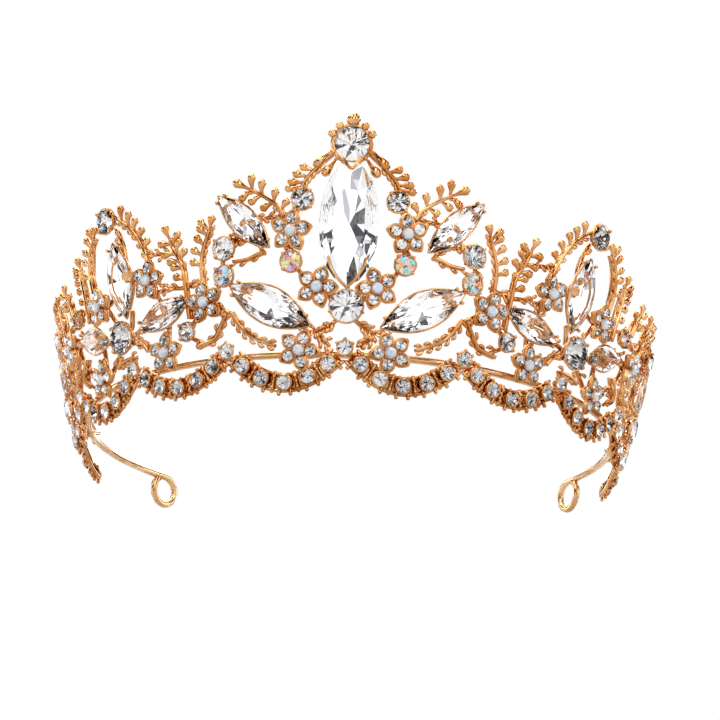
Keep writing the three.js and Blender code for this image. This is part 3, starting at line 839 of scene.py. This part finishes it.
# ---- scalloped edge ----
EDGE_STONE = 2.9
JUNCTION_STONE = 3.0
STONE_STEPS = (0.135, 0.3, 0.5, 0.7, 0.865)
EDGE_GIRDLE = 1.5
EDGE_RIM_WIRE, EDGE_RIM_DROP = 0.24, 0.2
EDGE_STARTS, EDGE_ENDS = 0.06, 0.94      # where the rails start and end, as parts of a scallop
EDGE_OVERRUN = 0.04                      # the rails' end past the last half scallop's stones
BAR_STARTS, BAR_ENDS = 0.05, 0.95
RAIL_OFFSET, RAIL_RADIUS, RAIL_PROUD = 1.7, 0.4, 0.2
WEB_WIDTH, WEB_THICKNESS, WEB_PROUD = 1.65, 0.3, -0.15
STUB_SPACING = 0.042                     # each stone has a stub on either side of it
STUB_OFFSETS, STUB_RADIUS, STUB_PROUD = (-1.5, -2.35), 0.3, 0.7
STUB_BEAD, STUB_BEAD_PROUD = 0.47, 0.75
UPPER_OFFSET, UPPER_BEAD, UPPER_PROUD = 1.75, 0.45, 1.1
BAR_OFFSETS, BAR_RADIUS, BAR_PROUD = (-1.9, -0.7, 0.7, 1.9), 0.5, 0.3
# The cup under a small stone: part of the stone's radius, and height.
EDGE_CUP = [(0, -0.55), (0.55, -0.5), (0.8, 0.2), (1.0, EDGE_GIRDLE - 0.35), (0.9, EDGE_GIRDLE - 0.3),
            (0.5, 0.1), (0, 0.0)]
# Bumps on the bar between two stones: offset across the row, and radius.
BAR_BUMPS = ((-1.15, 0.52), (0.0, 0.4), (1.15, 0.52))
BUMP_PROUD = 0.7
JUNCTION_BEADS = (30, 90, 150, 225, 315)
JUNCTION_REACH, JUNCTION_BEAD, JUNCTION_PROUD = 1.85, 0.42, 1.3


def scallop_place(index, t, offset=0.0):
    """(degrees, rise) on scallop number index at t, moved offset mm up and across the row."""
    deg = (index + t) * SCALLOP_PITCH
    drop = SCALLOP_DROPS[index]
    rise = -drop * (1 - (2 * t - 1) ** 2)
    slope = 4 * drop * (2 * t - 1) / (SCALLOP_PITCH * mm_per_degree(0))
    length = math.hypot(slope, 1.0)
    return beside((deg, rise), (-slope / length, 1 / length), offset)


def edge_stone(metal, stones, side, place, size):
    seat = Seat(side * place[0], place[1])
    add_stone(stones, seat, size, size, False, EDGE_GIRDLE, foil=1)
    rim = outline_path(seat, size, size, False, RIM_MARGIN, EDGE_GIRDLE - EDGE_RIM_DROP, 20)
    metal.wire(rim, EDGE_RIM_WIRE, seat.axes[2], 6, True)
    metal.lathe(seat, [(r * size / 2, z) for r, z in EDGE_CUP], 16)


def scallop_rails(metal, side, index, end):
    """The upper and lower rails of a scallop, and the web between them."""
    steps = np.linspace(EDGE_STARTS, end, 28)
    for offset in (RAIL_OFFSET, -RAIL_OFFSET):
        rail = mirrored(side, [scallop_place(index, t, offset) for t in steps])
        wall_curve(metal, rail, RAIL_RADIUS, RAIL_PROUD)
    web = mirrored(side, [scallop_place(index, t) for t in steps])
    path = [wall_point(deg, rise, WEB_PROUD) for deg, rise in web]
    outs = [wall_axes(deg)[2] for deg, rise in web]
    metal.sweep(path, WEB_WIDTH, WEB_THICKNESS, outs, 10)


def edge_stubs(metal, side, index, t):
    """A stub with a bead at its end under the row, and a bead above the row."""
    stub = mirrored(side, [scallop_place(index, t, offset) for offset in STUB_OFFSETS])
    wall_curve(metal, stub, STUB_RADIUS, STUB_PROUD, 6)
    metal.ball(wall_point(*stub[1], STUB_BEAD_PROUD), STUB_BEAD, 12)
    deg, rise = scallop_place(index, t, UPPER_OFFSET)
    metal.ball(wall_point(side * deg, rise, UPPER_PROUD), UPPER_BEAD, 10)


def edge_bar(metal, side, index, t):
    """A bar across the row between two stones."""
    bar = mirrored(side, [scallop_place(index, t, offset) for offset in BAR_OFFSETS])
    wall_curve(metal, bar, BAR_RADIUS, BAR_PROUD)
    for offset, radius in BAR_BUMPS:
        deg, rise = scallop_place(index, t, offset)
        metal.ball(wall_point(side * deg, rise, BUMP_PROUD), radius, 10)


def junction_setting(metal, stones, side, index):
    """The stone where two scallops meet, with beads round it."""
    deg = index * SCALLOP_PITCH
    edge_stone(metal, stones, side, (deg, 0), JUNCTION_STONE)
    seat = Seat(side * deg, 0)
    for angle in np.radians(JUNCTION_BEADS):
        x, y = JUNCTION_REACH * math.cos(angle), JUNCTION_REACH * math.sin(angle)
        metal.ball(seat.at(x, y, JUNCTION_PROUD), JUNCTION_BEAD, 10)


def build_edge():
    for label, side in SIDES:
        metal = Solid()
        stones = Solid()
        for k in range(len(SCALLOP_DROPS)):
            share = LAST_SHARE if k == len(SCALLOP_DROPS) - 1 else 1.0
            steps = [t for t in STONE_STEPS if t <= share]
            scallop_rails(metal, side, k, min(share + EDGE_OVERRUN, EDGE_ENDS))
            for t in steps:
                edge_stone(metal, stones, side, scallop_place(k, t), EDGE_STONE)
                for spacing in (-STUB_SPACING, STUB_SPACING):
                    edge_stubs(metal, side, k, t + spacing)
            for t0, t1 in zip([BAR_STARTS] + steps, steps + [BAR_ENDS] * (share == 1.0)):
                edge_bar(metal, side, k, (t0 + t1) / 2)
        for k in range(len(SCALLOP_DROPS)):
            if k > 0 or side > 0:        # the middle junction's stone is on the right band
                junction_setting(metal, stones, side, k)
        band = metal.build(f"scallop_band_{label}", [GOLD])
        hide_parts(f"scallop_chain_{label}")
        row = stones.build(f"scallop_stones_{label}", [CRYSTAL, FOIL_WITH_PAINTED_REFLECTIONS], smooth=False)


# ---- flowers ----
PETALS = 5
PETAL_REACH = 2.55
PETAL_STONE = 2.1
PETAL_GIRDLE = 0.95
PETAL_RADIUS, PETAL_TIP = 1.62, 0.5
OPAL_SIZE = 2.6
# Two ridges run round a petal, with a groove between them: (radius factor, height).
PETAL_PROFILE = [(0, -0.35), (0.92, -0.3), (1.03, -0.05), (1.04, 0.25), (0.97, 0.45), (0.89, 0.05),
                 (0.83, 0.5), (0.77, 0.85), (0.68, 0.55), (0.6, 0.05), (0, 0.0)]
# The cups under a petal's stone and under the opal, and the opal's dome.
PETAL_CUP = [(0, -0.3), (0.7, -0.25), (1.08, 0.5), (1.2, 0.9), (1.05, 0.95), (0.7, 0.2), (0, 0.0)]
OPAL_CUP = [(0, -0.9), (1.0, -0.8), (1.1, 0.3), (1.4, 0.9), (1.2, 1.0), (0.8, 0.4), (0, 0.3)]
OPAL_DOME = [(0, 0.35), (0.9, 0.4), (1.0, 1.0), (0.8, 1.45), (0.45, 1.65), (0, 1.7)]
# The small beads between the petals.
PETAL_BEAD, BEAD_REACH, BEAD_RISE = 0.28, 1.45, 1.15


def petal_outline(angle):
    """A rounded petal with a point at its outer end."""
    tip = max(0.0, math.cos(angle)) ** 9
    return ((PETAL_RADIUS + PETAL_TIP * tip) * math.cos(angle), PETAL_RADIUS * math.sin(angle))


def build_flower(node, side, deg, rise, turn):
    metal, stones = Solid(), Solid()
    seat = Seat(side * deg, rise, FLOWER_PROUD, side * turn)
    for i in range(PETALS):
        angle = math.pi / 2 + 2 * math.pi * i / PETALS
        petal = Seat(side * deg, rise, 0.0, side * turn + math.degrees(angle))
        petal.origin = seat.at(PETAL_REACH * math.cos(angle), PETAL_REACH * math.sin(angle))
        metal.lathe(petal, PETAL_PROFILE, 30, petal_outline)
        add_stone(stones, petal, PETAL_STONE, PETAL_STONE, False, PETAL_GIRDLE, foil=1)
        metal.lathe(petal, PETAL_CUP, 14)
    metal.lathe(seat, OPAL_CUP, 14)
    for i in range(PETALS):
        angle = math.pi / 2 + 2 * math.pi * (i + 0.5) / PETALS
        x, y = BEAD_REACH * math.cos(angle), BEAD_REACH * math.sin(angle)
        metal.ball(seat.at(x, y, BEAD_RISE), PETAL_BEAD, 8)
    stones.lathe(seat, [(r * OPAL_SIZE / 2, z) for r, z in OPAL_DOME], 8, material=2)
    petals = metal.build(f"{node}_petals", [GOLD])
    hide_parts(node)
    gems = stones.build(f"{node}_stones", [CRYSTAL, FOIL_WITH_PAINTED_REFLECTIONS, OPAL], smooth=False)


# ---- wire band ----
def wire_point(deg, drop):
    angle = math.radians(deg)
    z = JUNCTION_HEIGHT - WIRE_DROP - drop
    x = WIRE_RING_RADIUS * math.sin(angle)
    return np.array([x, RING_CENTRE_Y - WIRE_RING_RADIUS * math.cos(angle), z])


def eye_points(angle, side):
    points = []
    for sweep in np.radians(np.linspace(0, EYE_SWEEP, 26)):
        along = math.degrees(EYE_RADIUS * math.sin(sweep) / WIRE_RING_RADIUS)
        points.append(wire_point(side * (angle + along), EYE_RADIUS * (1 - math.cos(sweep))))
    return points


SOLDERED = (4, 2, 1)         # junctions where solder joins the edge to the wire
SOLDER_RADIUS, SOLDER_DROP = 1.15, 0.2


def build_wire():
    """One length of wire, bent to the head and turned into an eye at each end."""
    left = eye_points(EYE_ANGLES[0], -1)[::-1]
    right = eye_points(EYE_ANGLES[1], 1)
    ends = (EYE_BEND - EYE_ANGLES[0], EYE_ANGLES[1] - EYE_BEND)
    arc = [wire_point(deg, 0) for deg in np.linspace(*ends, 96)]
    path = np.array(left + arc + right)
    outs = path - np.array([0, RING_CENTRE_Y, 0])
    outs[:, 2] = 0
    outs /= np.linalg.norm(outs, axis=1)[:, None]
    metal = Solid()
    metal.wire(path, WIRE_RADIUS, outs, 16)
    for _, side in SIDES:
        for junction in SOLDERED:
            metal.ball(wire_point(side * junction * SCALLOP_PITCH, SOLDER_DROP), SOLDER_RADIUS, 14)
    band = metal.build("bent_wire", [WIRE_GOLD])
    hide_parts("wire_band")


build_wire()
build_edge()
build_crest()
build_side("inner", CREST_END, INNER_END, INNER_FERNS, INNER_RODS, INNER_SEED)
build_side("outer", INNER_END, OUTER_END, OUTER_FERNS, OUTER_RODS, OUTER_SEED)
for node, *shape in CENTRE_STONES:
    set_stone(node, 1, *shape)
for label, side in SIDES:
    for node, *shape in SIDE_STONES:
        set_stone(f"{node}_{label}", side, *shape)
    for node, deg, rise, turn in FLOWERS:
        build_flower(f"{node}_{label}", side, deg, rise, turn)


# ---- studio ----
def one_sided_floor():
    """A pale floor that is seen from above only, because the camera stands lower than it."""
    material, nodes, links, surface = node_material("pale_floor")
    surface.inputs["Base Color"].default_value = (0.6, 0.6, 0.6, 1.0)
    surface.inputs["Roughness"].default_value = 0.6
    geometry = nodes.new("ShaderNodeNewGeometry")
    clear = nodes.new("ShaderNodeBsdfTransparent")
    mix = nodes.new("ShaderNodeMixShader")
    links.new(geometry.outputs["Backfacing"], mix.inputs["Fac"])
    links.new(surface.outputs["BSDF"], mix.inputs[1])
    links.new(clear.outputs["BSDF"], mix.inputs[2])
    links.new(mix.outputs["Shader"], nodes["Material Output"].inputs["Surface"])
    return material


# [name, place in metres, size in metres, watts]
LIGHTS = [
    ("key_softbox", (-0.45, -0.75, 0.75), (0.4, 0.4), 1.6),
    ("fill_softbox", (0.7, -0.7, 0.45), (0.25, 0.5), 1.1),
    ("back_softbox", (0.1, 0.9, 0.7), (0.9, 0.4), 2),
]
LIGHT_TARGET = (0, 0, 0.03)
FLOOR_SIZE = 3
FLOOR_DROP = 0.0003          # the floor clears the lowest bead


def area_light(name, location, size, power):
    light = bpy.data.lights.new(name, "AREA")
    light.shape = "RECTANGLE"
    light.size, light.size_y = size
    light.energy = power
    lamp = bpy.data.objects.new(name, light)
    lamp.location = location
    lamp.rotation_euler = (Vector(LIGHT_TARGET) - Vector(location)).to_track_quat("-Z", "Y").to_euler()
    bpy.context.scene.collection.objects.link(lamp)


def build_studio():
    bpy.ops.mesh.primitive_plane_add(size=FLOOR_SIZE, location=(0, 0, -FLOOR_DROP))
    floor = bpy.context.object
    floor.name = "floor"
    floor.data.materials.append(one_sided_floor())
    for light in LIGHTS:
        area_light(*light)
    bpy.context.scene.world = studio_world()
    bpy.context.scene.view_settings.view_transform = "Standard"


METAL_PATCHES = 3.6                 # scales of the patches seen in metal and through glass
GLASS_PATCHES = 4.5
METAL_LEAN = (-0.02, 0.0, 0.09)     # brighter from above
GLASS_LEAN = (0.0, 0.09, 0.0)       # brighter from behind


def studio_world():
    """White where it is seen directly; in metal and glass, soft patches of light and dark."""
    world = bpy.data.worlds.new("studio")
    world.use_nodes = True
    nodes, links = world.node_tree.nodes, world.node_tree.links
    around = nodes.new("ShaderNodeTexCoord")
    on_metal = colour_ramp(nodes, [(0.0, (0.01, 0.01, 0.012)), (0.5, (0.02, 0.02, 0.025)),
                                   (0.53, (0.16, 0.16, 0.17)), (0.58, (0.36, 0.36, 0.37)),
                                   (0.61, (1.3, 1.3, 1.3)), (0.67, (4.2, 4.2, 4.2))])
    in_glass = colour_ramp(nodes, [(0.0, (0.01, 0.01, 0.015)), (0.43, (0.04, 0.04, 0.05)),
                                   (0.46, (0.4, 0.42, 0.46)), (0.5, (0.62, 0.64, 0.7)),
                                   (0.52, (1.15, 1.15, 1.17))])
    for ramp, scale, lean in ((on_metal, METAL_PATCHES, METAL_LEAN),
                              (in_glass, GLASS_PATCHES, GLASS_LEAN)):
        patches = nodes.new("ShaderNodeTexNoise")
        patches.inputs["Scale"].default_value = scale
        patches.inputs["Detail"].default_value = 0.0
        links.new(around.outputs["Generated"], patches.inputs["Vector"])
        gradient = nodes.new("ShaderNodeVectorMath")
        gradient.operation = "DOT_PRODUCT"
        gradient.inputs[1].default_value = lean
        links.new(around.outputs["Generated"], gradient.inputs[0])
        brighter = nodes.new("ShaderNodeMath")
        links.new(patches.outputs["Fac"], brighter.inputs[0])
        links.new(gradient.outputs["Value"], brighter.inputs[1])
        links.new(brighter.outputs["Value"], ramp.inputs["Fac"])
    path = nodes.new("ShaderNodeLightPath")
    refracted = colour_mix(nodes, links, path.outputs["Is Transmission Ray"], on_metal.outputs["Color"])
    links.new(in_glass.outputs["Color"], refracted.inputs["B"])
    seen = colour_mix(nodes, links, path.outputs["Is Camera Ray"], refracted.outputs["Result"])
    seen.inputs["B"].default_value = (1, 1, 1, 1)
    links.new(seen.outputs["Result"], nodes["Background"].inputs["Color"])
    return world


# ---- camera: a little below the tiara's rim, rolled with it ----
CAMERA_DISTANCE = 578.5
CAMERA_DROP = math.radians(16.7)
CAMERA_YAW = math.radians(1.65)
CAMERA_ROLL = math.radians(2.47)
CAMERA_LENS = 125.0
CAMERA_SHIFT = (0.014, 0.1047)


def build_camera():
    data = bpy.data.cameras.new("camera")
    data.lens = CAMERA_LENS
    data.sensor_width = 36.0
    data.shift_x, data.shift_y = CAMERA_SHIFT
    data.clip_start = 0.01
    camera = bpy.data.objects.new("camera", data)
    target = Vector((0, RING_CENTRE_Y, JUNCTION_HEIGHT))
    level = math.cos(CAMERA_DROP)
    away = Vector((math.sin(CAMERA_YAW) * level, -math.cos(CAMERA_YAW) * level, -math.sin(CAMERA_DROP)))
    turn = (-away).to_track_quat("-Z", "Y").to_matrix().to_4x4()
    roll = Matrix.Rotation(CAMERA_ROLL, 4, "Z")
    camera.matrix_world = Matrix.Translation((target + away * CAMERA_DISTANCE) * MM) @ turn @ roll
    bpy.context.scene.collection.objects.link(camera)
    bpy.context.scene.camera = camera


build_studio()
build_camera()
